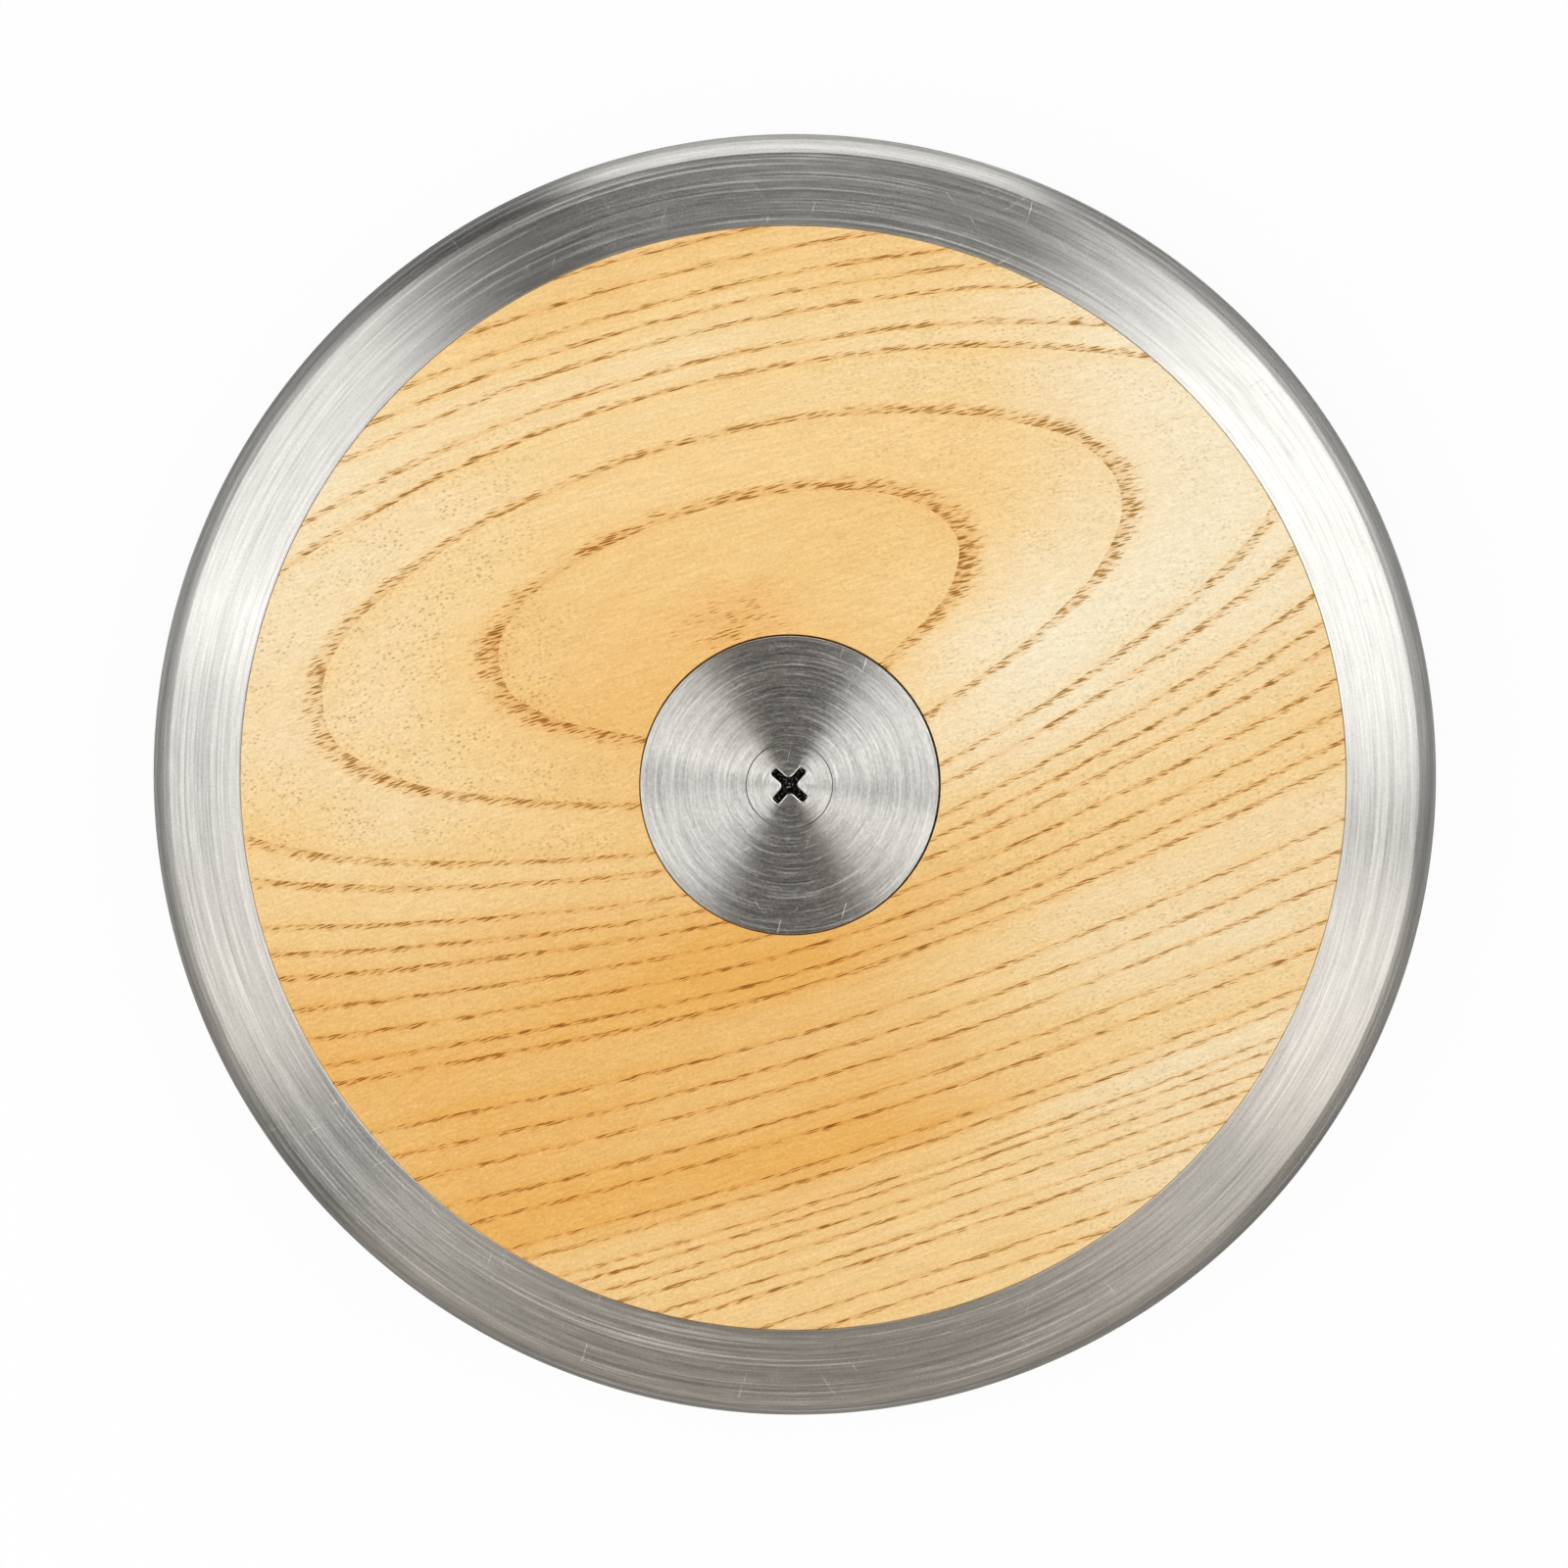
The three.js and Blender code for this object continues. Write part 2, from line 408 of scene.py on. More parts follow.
def numbered_grid(tree, rows, columns):
    """A grid, and the row and column of each of its points."""
    grid = tree.add("GeometryNodeMeshGrid", None, {"Vertices X": rows, "Vertices Y": columns})
    index = tree.add("GeometryNodeInputIndex")
    row = index.maths("FLOOR", (index + 0.5) / columns)
    return grid, row, index - row * columns


def give_back(tree, mesh, material):
    """Ends a Geometry Nodes tree in a welded mesh of one material."""
    mesh = tree.add("GeometryNodeMergeByDistance", None, {0: mesh, "Distance": WELD})
    mesh = tree.add("GeometryNodeRealizeInstances", None, {0: mesh})
    mesh = tree.add("GeometryNodeSetMaterial", None, {0: mesh, "Material": material})
    tree.add("NodeGroupOutput", None, {0: mesh})
    return tree.nodes


def turning_tree():
    """Geometry Nodes that turn a profile about the axis. A profile point holds radius and height."""
    kinds = {"Profile": "Geometry", "Segments": "Int", "Centre": "Vector", "Finish": "Material"}
    tree, (profile, segments, centre, material) = geometry_tree("turned_piece", kinds)
    rows = tree.add("GeometryNodeAttributeDomainSize", {"component": "MESH"}, {0: profile})
    grid, row, column = numbered_grid(tree, rows, segments + 1)
    angle = column / segments * math.tau
    cosine = angle.maths("COSINE", angle)
    sine = angle.maths("SINE", angle)
    place = tree.add("GeometryNodeInputPosition")
    sample = {"data_type": "FLOAT_VECTOR"}
    point = tree.add("GeometryNodeSampleIndex", sample, {0: profile, "Value": place, "Index": row})
    radius, _, height = tree.parts(point)
    baked = tree.add("GeometryNodeInputNamedAttribute", {"data_type": "FLOAT"}, {"Name": "bake_radius"})
    sample = {"data_type": "FLOAT"}
    spoke = tree.add("GeometryNodeSampleIndex", sample, {0: profile, "Value": baked, "Index": row})
    mapped = tree.combine(spoke * cosine + 0.5, spoke * sine + 0.5, 0.0)
    store = {"data_type": "FLOAT2", "domain": "CORNER"}
    mesh = tree.add("GeometryNodeStoreNamedAttribute", store, {0: grid, "Name": BAKE_MAP, "Value": mapped})
    turned = tree.combine(radius * cosine, radius * sine, height)
    mesh = tree.add("GeometryNodeSetPosition", None, {0: mesh, "Position": turned, "Offset": centre})
    return give_back(tree, mesh, material)


def thread_tree():
    """Geometry Nodes that make a threaded rod, with its rows sheared along the helix."""
    lengths = ("Radius", "Depth", "Pitch", "Bottom", "Top", "Tip Bevel")
    kinds = {"Rod": "Geometry", **dict.fromkeys(lengths, "Float"), "Finish": "Material"}
    tree, sockets = geometry_tree("threaded_rod", kinds)
    _, radius, depth, pitch, bottom, top, bevel, material = sockets
    around, per_turn = 48, 10
    turns = top.maths("CEIL", (top - bottom) / pitch)
    rows = turns * per_turn + 2 * per_turn + 3
    grid, row, column = numbered_grid(tree, rows, around + 1)
    turn = column / around
    climb = pitch * ((row - 1) / per_turn + turn - 1)
    height = (bottom + climb).most(bottom).least(top)
    phase = ((height - bottom) / pitch - turn) % 1.0
    flank = phase.maths("ABSOLUTE", phase - 0.5) * 2.0
    crest = tree.rise(flank, 0.15, 0.85)
    fade = tree.rise(height, top - pitch, top)
    spoke = radius - depth * (1 - crest).most(fade)
    spoke = spoke.least(radius - bevel + (height - bottom))
    end = row.maths("COMPARE", row, 0.0, 0.1) + row.maths("COMPARE", row, rows - 1, 0.1)
    spoke = spoke * (1 - end)
    angle = turn * math.tau
    where = tree.combine(spoke * angle.maths("COSINE", angle), spoke * angle.maths("SINE", angle), height)
    mesh = tree.add("GeometryNodeSetPosition", None, {0: grid, "Position": where})
    return give_back(tree, mesh, material)


def tree_named(name, maker):
    """A node group that is made once."""
    return bpy.data.node_groups.get(name) or maker()


def placed(name, data):
    """A new object in the scene."""
    thing = bpy.data.objects.new(name, data)
    bpy.context.scene.collection.objects.link(thing)
    return thing


def modified(source):
    """The mesh that an object's modifiers make of it. The modifiers are then removed."""
    graph = bpy.context.evaluated_depsgraph_get()
    mesh = bpy.data.meshes.new_from_object(source.evaluated_get(graph))
    source.modifiers.clear()
    return mesh


def baked_piece(name, mesh, nodes, inputs):
    """The result of a Geometry Nodes tree on a mesh, as a plain object."""
    source = placed("source", mesh)
    modifier = source.modifiers.new("nodes", "NODES")
    modifier.node_group = nodes
    for item in nodes.interface.items_tree:
        if item.in_out == "INPUT" and item.name in inputs:
            modifier[item.identifier] = inputs[item.name]
    result = modified(source)
    bpy.data.objects.remove(source)
    result.name = name
    piece = placed(name, result)
    outward(piece)
    return piece


def outward(piece):
    """Points a closed piece's faces outwards."""
    work = bmesh.new()
    work.from_mesh(piece.data)
    bmesh.ops.dissolve_degenerate(work, dist=WELD / 4, edges=work.edges)
    bmesh.ops.recalc_face_normals(work, faces=work.faces)
    work.to_mesh(piece.data)
    work.free()


def turned(name, points, material, segments=256, places=None, centre=(0, 0, 0)):
    """A piece turned about the axis, from profile points in millimetres."""
    places = places or spread(points, 0.05, 0.49)
    profile = bpy.data.meshes.new(name + "_profile")
    vertices = [(point.x * MM, 0, point.y * MM) for point in points]
    edges = [(k, k + 1) for k in range(len(vertices) - 1)]
    profile.from_pydata(vertices, edges, [])
    baked = profile.attributes.new("bake_radius", "FLOAT", "POINT")
    baked.data.foreach_set("value", places)
    inputs = {"Segments": segments, "Centre": centre, "Finish": material}
    return baked_piece(name, profile, tree_named("turned_piece", turning_tree), inputs)


def cut(piece, cutter, operation="DIFFERENCE"):
    """Cuts one piece out of another, or joins it on, and removes the cutter."""
    modifier = piece.modifiers.new("cut", "BOOLEAN")
    modifier.operation = operation
    modifier.solver = "EXACT"
    modifier.material_mode = "TRANSFER"
    modifier.object = cutter
    piece.data = modified(piece)
    bpy.data.objects.remove(cutter)
    outward(piece)


def fitted(piece, slot, *nodes, crisp=16):
    """Finishes a piece: its shading and the frame nodes it stands for. Its slot is not used."""
    piece.data.name = piece.name
    piece.data.shade_smooth()
    piece.data.set_sharp_from_angle(angle=math.radians(crisp))
    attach(piece, "root")
    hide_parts(*nodes)


# The way that the centre pieces have settled
PLAY_WAY = (0.8, 0.6)


def turned_over(piece):
    """Turns a piece over onto the other face, about X."""
    for vertex in piece.data.vertices:
        vertex.co = (vertex.co.x, -vertex.co.y, -vertex.co.z)


def centred(piece, face, slot, node, crisp=16):
    """Finishes a centre piece, which sits a hair off the axis, as far as the wood allows."""
    if face < 0:
        turned_over(piece)
    play = sizes().centre_play
    for vertex in piece.data.vertices:
        vertex.co.x -= play * PLAY_WAY[0]
        vertex.co.y -= play * PLAY_WAY[1]
    fitted(piece, slot, node, crisp=crisp)


def mirrored(corners):
    """The same corners below the mid-plane, in the order that goes on with the outline."""
    return [(x, -z, rounding) for x, z, rounding in reversed(corners)]


class Form:
    """Sizes that follow from the user's, in millimetres."""

    def __init__(self):
        s = sizes()
        self.outer = s.outer_diameter / MM / 2
        self.top = s.thickness / MM / 2
        self.plate = s.plate_diameter / MM / 2
        self.seat = s.plate_seat / MM
        self.band = self.outer - s.band_width / MM
        gauge = self.outer - s.gauge_inset / MM
        self.fall = (self.top - s.gauge_thickness / MM / 2) / (gauge - self.plate)
        self.crease = self.outer - s.edge_width / MM
        rise = self.taper(self.crease)
        edge = s.edge_width / MM
        self.edge_centre = (self.outer + self.crease - rise * rise / edge) / 2
        self.tongue_top = s.tongue_thickness / MM / 2
        self.dowel = s.dowel_diameter / MM / 2
        self.dowel_circle = self.band - s.tongue_margin / MM - self.dowel
        self.tongue = self.dowel_circle - self.dowel - s.tongue_margin / MM
        self.screw = s.screw_diameter / MM / 2
        self.head = s.head_diameter / MM / 2
        self.land = s.head_land / MM
        self.head_height = self.land + self.head - self.screw
        self.core = s.core_diameter / MM / 2
        self.core_top = s.core_height / MM
        self.wood_gap = s.wood_gap / MM
        self.plate_gap = s.plate_gap / MM
        self.thread_gap = s.thread_gap / MM
        self.dowel_top = s.dowel_height / MM

    def taper(self, radius):
        """Height of the straight taper at a radius."""
        return self.top - (radius - self.plate) * self.fall

    def dowel_places(self):
        """Centre of each dowel on the tongue."""
        count = sizes().dowel_count
        for k in range(count):
            angle = (k + 0.5) * math.tau / count
            yield self.dowel_circle * math.cos(angle) * MM, self.dowel_circle * math.sin(angle) * MM, 0


def pin(name, radius, low, high, bevel, material, centre):
    """An upright pin with bevelled ends."""
    corners = [
        (0, low, 0),
        (radius - bevel, low, 0),
        (radius, low + bevel, 0),
        (radius, high - bevel, 0),
        (radius - bevel, high, 0),
        (0, high, 0),
    ]
    points = soften(corners)
    return turned(name, points, material, 48, spread(points, 0.01, 0.49), centre)


def drill_for_dowels(piece, form, low, high, material):
    """Cuts the dowel holes into a piece."""
    bevel = 0.2
    for place in form.dowel_places():
        cut(piece, pin("drill", form.dowel + form.wood_gap, low, high, bevel, material, place))


# Finishes


def turned_steel(name, lines, crease=None, roughness=0.345, worn=0.3):
    """Steel turned on a lathe: fine lines round the axis that draw light out into fans."""
    material, tree, (x, y, z) = new_material(name)
    radius = (x * x + y * y).root().most(0.01)
    round_x, round_y = x / radius, y / radius

    def arcs(sweep, fineness, detail):
        vector = tree.combine(round_x * sweep, round_y * sweep, radius * fineness)
        values = {"Vector": vector, "W": z * fineness, "Scale": 1.0, "Detail": detail, "Roughness": 0.6}
        return tree.add("ShaderNodeTexNoise", {"noise_dimensions": "4D"}, values)

    def scratches(angle):
        along, across = rotated(x, y, -angle)
        return tree.rise(tree.noise(along / 14, across * 1.7, angle * 7, 2.0, 0.7), 0.7, 0.78)

    broad = arcs(0.9, 0.7 * lines, 2.0)
    fine = arcs(1.8, 2.2 * lines, 2.0)
    hair = arcs(16.0, 3.0 * lines, 1.0)
    grit = tree.noise(x * 2.6, y * 2.6, z * 2.6, 1.0)
    marks = scratches(0.5).most(scratches(2.2)).most(scratches(1.3))
    shade = (broad - 0.5) * 0.22 + (fine - 0.5) * 1.0 + (hair - 0.5) * 0.45 + (grit - 0.5) * 0.3
    shade = shade + marks * 0.08 + 0.965
    # Beyond the crease the rounded edge is painted darker: painted shade for the dark reflections along
    # the rim's edge.
    if crease is not None:
        shade = shade * tree.rise(radius, crease - 0.05, crease + 0.05, 1.0, 0.83)
    base = tree.shaded(rgba(finish().steel), shade)
    rough = (fine - 0.5) * 0.1 + (grit - 0.5) * 0.08 + marks * 0.08 + roughness
    dull = tree.rise(fine, 0.54, 0.7) * worn + tree.rise(hair, 0.58, 0.8) * 0.12
    dull = dull + tree.rise(grit, 0.55, 0.8) * 0.08
    ridges = broad * 0.5 + fine * 0.35 - marks * 0.2
    surface(
        tree,
        {
            "Base Color": base,
            "Metallic": 1 - dull,
            "Roughness": rough,
            "Anisotropic": 0.97,
            "Anisotropic Rotation": 0.25,
            "Normal": tree.bump(ridges, 1.0, 0.06),
        },
    )
    return material


def plain_steel(name, tone, roughness, grain, glint=0.0):
    """Plain machined steel with a faint cloudy finish, and painted glints if it is given a glint: bright
    specks of the turned steel's colour painted into it.
    """
    material, tree, (x, y, z) = new_material(name)
    cloud = tree.noise(x, y, z, 4.0, scale=0.35)
    fleck = tree.noise(x * grain, y * grain, z * 2.5)
    shade = (cloud - 0.5) * 0.25 + (fleck - 0.5) * 0.2 + 1.0
    base = tree.shaded(rgba(tone), shade)
    # Painted glints: specks where the colour turns to the bright turned steel, standing in for highlights.
    painted_glints = tree.noise(x * 2.4, y * 2.4, z * 1.2, 1.0)
    base = tree.blend(tree.rise(painted_glints, 0.56, 0.64) * glint, base, rgba(finish().steel))
    rough = (cloud - 0.5) * 0.2 + (fleck - 0.5) * 0.1 + roughness
    normal = tree.bump(fleck, 0.3, 0.03)
    surface(tree, {"Base Color": base, "Metallic": 1.0, "Roughness": rough, "Normal": normal})
    return material


# Widths of the growth rings from the heart outwards, in millimetres
RING_START = 40.0
RING_WIDTHS = (
    8.75, 4.35, 5.3, 5.5, 2.3, 3.6, 2.5, 2.3, 3.4, 3.5, 3.4, 2.4, 7.3, 4.0, 3.8, 5.1, 3.2,
    5.3, 2.2, 4.1, 1.7, 2.6, 2.3, 3.5, 2.1, 5.5, 3.1, 4.2, 2.8, 4.4, 3.0, 4.0,
)
EARLY_PHASE = 0.3

# How each wooden side was sawn: the way of its grain in degrees, where the heart of the tree lies, how
# that leans, bends and twists along the board, and where its noise starts
Board = namedtuple("Board", "angle offset heart lean bend twist seed")
BOARDS = {
    "upper": Board(16.8, 39.1, 69.8, 0.0082, 0.000293, 0.00041, 0.0),
    "lower": Board(-31.0, -18.0, 66.0, -0.015, -0.00022, 0.0002, 37.0),
}


# Tone in the middle of the board, and how much paler its ends are, by the distance from the heart in
# millimetres
BOARD_TONES = (
    (40, 0.12), (50, 0.15), (57, 0.26), (60, 0.29), (68, 0.27), (72, 0.15), (84, 0.01), (92, 0.19),
    (104, 0.18), (114, 0.06), (121, 0.33), (135, 0.43), (150, 0.44),
)
RIGHT_TONES = (
    (40, 0.3), (50, 0.36), (60, 0.66), (70, 0.5), (84, 0.5), (104, 0.5), (114, 0.52), (126, 0.28),
    (150, 0.22),
)
LEFT_TONES = ((40, 0.45), (55, 0.42), (64, 0.25), (82, 0.13), (96, -0.08), (118, -0.05), (150, 0.0))


def ring_age(tree, depth):
    """How many rings out from the heart, with the early wood of each in the first part of its count."""
    age = None
    start = RING_START
    for width in RING_WIDTHS:
        early = 0.62 + 0.03 * width
        ring = tree.rise(depth, start, start + early, 0.0, EARLY_PHASE)
        ring = ring + tree.rise(depth, start + early, start + width, 0.0, 1 - EARLY_PHASE)
        age = ring if age is None else age + ring
        start += width
    return age


def along_depth(tree, depth, points):
    """A value given at a few distances from the heart, in millimetres."""
    low, high = points[0][0], points[-1][0]
    places = [((place - low) / (high - low), value) for place, value in points]
    return tree.add("ShaderNodeFloatCurve", {"points": places}, {"Value": (depth - low) / (high - low)})


def side_wood(name, board, face):
    """Flat-sawn ring-porous wood: ovals and waves where the taper cuts the growth rings."""
    material, tree, (x, y, z) = new_material(name)
    along, across = rotated(x, y, -math.radians(board.angle))
    height = z * face
    seeded = along + board.seed
    wander = tree.noise(seeded / 30, across / 13, height / 13, 1.0)
    side = across - board.offset + along * along * board.bend + across * along * board.twist
    down = board.heart - height + along * board.lean
    depth = (side * side + down * down).root() + (wander - 0.5) * 0.5
    arc = side.maths("ARCTAN2", side, down) * depth
    age = ring_age(tree, depth)
    ring = age.maths("FLOOR", age)
    phase = age - ring
    bed = phase / EARLY_PHASE

    # Rows of vessels in the early wood, cut across as dashes and hatching
    strength = tree.noise(seeded / 8, side / 3, down / 3, 1.0)
    vessels = tree.cells(seeded / 3.2 + ring * 5.3, bed * 1.2 + ring * 3.7, arc / 0.32)
    bore = tree.rise(strength, 0.28, 0.62, 0.28, 0.46) * tree.rise(bed, 0.55, 1.25, 1.0, 0.0)
    bore = bore * tree.rise(depth, 49.2, 51.0, 0.72, 1.0)
    pores = tree.rise(vessels - bore, -0.12, 0.08, 1.0, 0.0) * tree.rise(bore, 0.04, 0.12)
    halo = tree.rise(vessels - bore, 0.0, 0.3, 1.0, 0.0) * tree.rise(bed, 0.8, 1.4, 1.0, 0.0)
    early = tree.rise(bed, 0.0, 1.1, 1.0, 0.0)
    brink = tree.rise(bed, 0.08, 0.3, 1.0, 0.0)

    # Small vessels in the late wood, plainest towards both ends of the board
    small = tree.cells(seeded / 1.2, side / 0.62, down / 0.62)
    left_end = tree.rise(along, -20, -42, 0.15, 2.0, True).least(tree.rise(depth, 60, 68, 2.0, 0.45))
    ends = tree.rise(along, 6, 40, 0.15, 1.0, True).most(left_end)
    patch = tree.noise(seeded / 7, side / 5, down / 5, 1.0)
    specks = tree.rise(small, 0.1, 0.38, 1.0, 0.0) * tree.rise(phase, 0.32, 0.5) * ends
    specks = specks * tree.rise(patch, 0.35, 0.6, 0.2, 1.0)
    fibre = tree.noise(seeded / 8, side * 1.8, down * 1.8, 3.0, 0.6)
    fleck = tree.noise(seeded * 1.5, side * 3, down * 3, 2.0, 0.8)

    tone = along_depth(tree, depth, BOARD_TONES)
    far_side = tree.rise(side, -25, 10, smooth=True)
    right = tree.rise(along, -12, 54, smooth=True) * along_depth(tree, depth, RIGHT_TONES)
    left = tree.rise(along, -75, -15, 1.0, 0.0, True)
    near = right + left * along_depth(tree, depth, LEFT_TONES)
    far = left * 0.22 + tree.rise(along, 45, 85, 0.0, 0.4, True) + tree.rise(side, 5, 50, 0.18, 0.38)
    cloud = tree.noise(seeded / 45, across / 12, height / 12)
    tone = tone + near * (1 - far_side) + far * far_side
    tone = tone + (cloud - 0.5) * 0.3 + (fibre - 0.5) * 0.3 + (fleck - 0.5) * 0.1
    tone = tone - tree.rise(phase, 0.8, 1.0, 0.0, 0.1)

    look = finish()
    stops = ((0.0, look.honey_wood), (0.5, look.middle_wood), (1.0, look.pale_wood))
    base = tree.add("ShaderNodeValToRGB", {"stops": stops}, {"Fac": tone})
    shade = (fibre - 0.5) * 0.2 + (fleck - 0.5) * 0.5 + 1.0
    base = tree.shaded(base, shade)
    tint = (early * 0.5).most(halo * 0.75).most(brink * 0.5) * tree.rise(strength, 0.25, 0.6, 0.6, 1.0)
    base = tree.blend(tint, base, rgba(look.ring_wood), "MULTIPLY")
    base = tree.blend(specks * 0.35, base, rgba(look.pore), "MULTIPLY")
    base = tree.blend(pores * 0.95, base, rgba(look.pore), "MULTIPLY")
    relief = fibre * 0.12 - pores - specks * 0.3
    surface(
        tree,
        {
            "Base Color": base,
            "Roughness": (fibre - 0.5) * 0.15 + pores * 0.2 + 0.5,
            "Specular IOR Level": 0.3,
            "Normal": tree.bump(relief, 0.5, 0.08),
        },
    )
    return material


# One operator for each piece or group of like pieces


class DISCUS_OT_rim(bpy.types.Operator):
    """Turn the steel rim, with its tongue drilled for the dowels"""

    bl_idname = "discus.rim"
    bl_label = "Steel Rim"

    def execute(self, context):
        form = Form()
        lip = 0.12
        chamfer = 0.6
        upper = [
            (form.tongue, form.tongue_top - chamfer, 0.1),
            (form.tongue + chamfer, form.tongue_top, 0.1),
            (form.band, form.tongue_top, 0.15),
            (form.band, form.taper(form.band + lip) - lip, 0.04),
            (form.band + lip, form.taper(form.band + lip), 0.04),
            (form.crease, form.taper(form.crease), 0),
        ]
        start = math.atan2(form.taper(form.crease), form.crease - form.edge_centre)
        reach = form.outer - form.edge_centre
        steps = 40
        angles = [start * (1 - 2 * k / steps) for k in range(1, steps)]
        edge = [
            (form.edge_centre + reach * math.cos(angle), reach * math.sin(angle), 0) for angle in angles
        ]
        points = closed(upper + edge + mirrored(upper))
        points.reverse()
        material = turned_steel("rim_turned_steel", 1.0, form.crease)
        rim = turned("rim_steel_ring", points, material, 384, spread(points, 0.1, 0.49))
        past = form.tongue_top + 1
        drill_for_dowels(rim, form, -past, past, material)
        fitted(rim, "rim_steel", "rim")
        return {"FINISHED"}


class DISCUS_OT_sides(bpy.types.Operator):
    """Turn the two wooden sides, rebated for the rim and recessed for the plates"""

    bl_idname = "discus.sides"
    bl_label = "Wooden Sides"

    def execute(self, context):
        form = Form()
        outer = form.band - sizes().rim_gap / MM
        recess = form.plate + form.plate_gap
        bore = form.core + form.wood_gap
        inner = form.tongue - form.wood_gap
        rebate = form.tongue_top + form.wood_gap
        hidden = [
            (outer, rebate, 0.3),
            (inner, rebate, 0.15),
            (inner, 0, 0.2),
            (bore, 0, 0.2),
            (bore, form.core_top, 0.15),
            (recess, form.core_top, 0.2),
            (recess, form.taper(recess), 0.12),
            (outer, form.taper(outer), 0.12),
        ]
        for where, face in HALVES.items():
            points = closed(hidden)
            material = side_wood("side_wood_" + where, BOARDS[where], face)
            side = turned("wooden_side_" + where, points, material, 320, wood_places(points, form))
            drill_for_dowels(side, form, rebate - 1, form.dowel_top + form.wood_gap, material)
            if face < 0:
                turned_over(side)
            fitted(side, "side_wood", "side_" + where)
        return {"FINISHED"}


def wood_places(points, form):
    """Places on the baked map that give nearly all of it to the side's outer face."""
    reach = 0.492 / form.band
    lowest = [form.taper(point.x) - 0.2 for point in points]
    outside = [k for k, point in enumerate(points) if point.x > form.plate and point.y >= lowest[k]]
    first, last = outside[0], outside[-1]
    places = [point.x * reach for point in points[first : last + 1]]
    before = spread(points[: first + 1], 0.01, places[0])
    after = spread(points[last:], places[-1], 0.499)
    return before[:-1] + places + after[1:]


# Gap round the screw's head, as a multiple of the gap round its thread
HEAD_PLAY = 2.6


class DISCUS_OT_plates(bpy.types.Operator):
    """Turn the two centre plates, each with a countersink"""

    bl_idname = "discus.plates"
    bl_label = "Centre Plates"

    def execute(self, context):
        form = Form()
        hole = form.screw + form.thread_gap
        sink = form.head + form.thread_gap * HEAD_PLAY
        bevel, drop = 0.08, 0.2
        corners = [
            (hole, form.top - form.head_height, 0.05),
            (hole, form.seat, 0.05),
            (form.plate, form.seat, 0.15),
            (form.plate, form.top - drop, 0.03),
            (form.plate - bevel, form.top, 0.05),
            (sink, form.top, 0.05),
            (sink, form.top - form.land, 0.05),
        ]
        material = turned_steel("plate_turned_steel", 1.3, roughness=0.315, worn=0.18)
        for where, face in HALVES.items():
            name = "centre_plate_" + where
            plate = turned(name + "_steel", closed(corners), material)
            centred(plate, face, "plate_steel", name)
        return {"FINISHED"}


# Turn of the cross round the axis, and how many of its top levels are as bright as the head; below them
# the recess walls get painted shade
CROSS_TURN = math.radians(48.4)
BRIGHT_LEVELS = 2


def quarter_turn(steps):
    """Cosine and sine at each step of a quarter turn."""
    angles = [math.pi / 2 * k / steps for k in range(steps + 1)]
    return [(math.cos(angle), math.sin(angle)) for angle in angles]


def cross_outline(half_span, half_width, blend):
    """Outline of the cross recess at one depth, in millimetres."""
    corner = half_width * 0.6
    far, near, middle = half_span - corner, half_width - corner, half_width + blend
    arm = [(far + corner * cosine, near + corner * sine) for cosine, sine in quarter_turn(6)]
    hollow = [(middle - blend * sine, middle - blend * cosine) for cosine, sine in quarter_turn(8)]
    quarter = (arm + hollow + [(y, x) for x, y in reversed(arm)])[1:-1]
    outline = []
    for _ in range(4):
        outline += quarter
        quarter = [(-y, x) for x, y in quarter]
    return outline


def recess_cutter(form, materials):
    """Tapered cross that the driver's bit fits, as a cutter of two finishes: the head's steel on its top
    levels and painted shade deeper down.
    """
    span = sizes().recess_span / MM / 2
    deep = sizes().recess_depth / MM
    # Height over the head's face, half the cross's span, half an arm's width, rounding in the hollows
    levels = [
        (0.6, span + 0.5, 0.95, 1.0),
        (0.0, span + 0.02, 0.9, 0.9),
        (-0.06, span - 0.14, 0.74, 0.85),
        (-deep * 0.5, span - 1.25, 0.64, 0.75),
        (-deep, span - 2.4, 0.54, 0.5),
        (-deep - 0.35, 0.75, 0.3, 0.2),
    ]
    work = bmesh.new()
    rings = []
    for height, half_span, half_width, blend in levels:
        ring = []
        for x, y in cross_outline(half_span, half_width, blend):
            px, py = rotated(x, y, CROSS_TURN)
            ring.append(work.verts.new((px * MM, py * MM, (form.top + height) * MM)))
        rings.append(ring)
    for level, (upper, lower) in enumerate(zip(rings, rings[1:])):
        for k in range(len(upper)):
            after = (k + 1) % len(upper)
            wall = work.faces.new((upper[k], upper[after], lower[after], lower[k]))
            # Walls below the bright levels get material 0, the recess's painted shade.
            wall.material_index = 1 if level < BRIGHT_LEVELS else 0
    work.faces.new(rings[0])
    work.faces.new(rings[-1])
    bmesh.ops.recalc_face_normals(work, faces=work.faces)
    mesh = bpy.data.meshes.new("cross_recess")
    work.to_mesh(mesh)
    work.free()
    for material in materials:
        mesh.materials.append(material)
    return placed("cross_recess", mesh)


def threaded_shank(form, top, material):
    """The screw's threaded shank, up to a height in millimetres."""
    slack, depth, bevel = 0.02, 0.7, 1.0
    inputs = {
        "Radius": (form.screw - slack) * MM,
        "Depth": depth * MM,
        "Pitch": sizes().screw_pitch,
        "Bottom": sizes().screw_tip,
        "Top": top * MM,
        "Tip Bevel": bevel * MM,
        "Finish": material,
    }
    nodes = tree_named("threaded_rod", thread_tree)
    return baked_piece("shank", bpy.data.meshes.new("rod"), nodes, inputs)


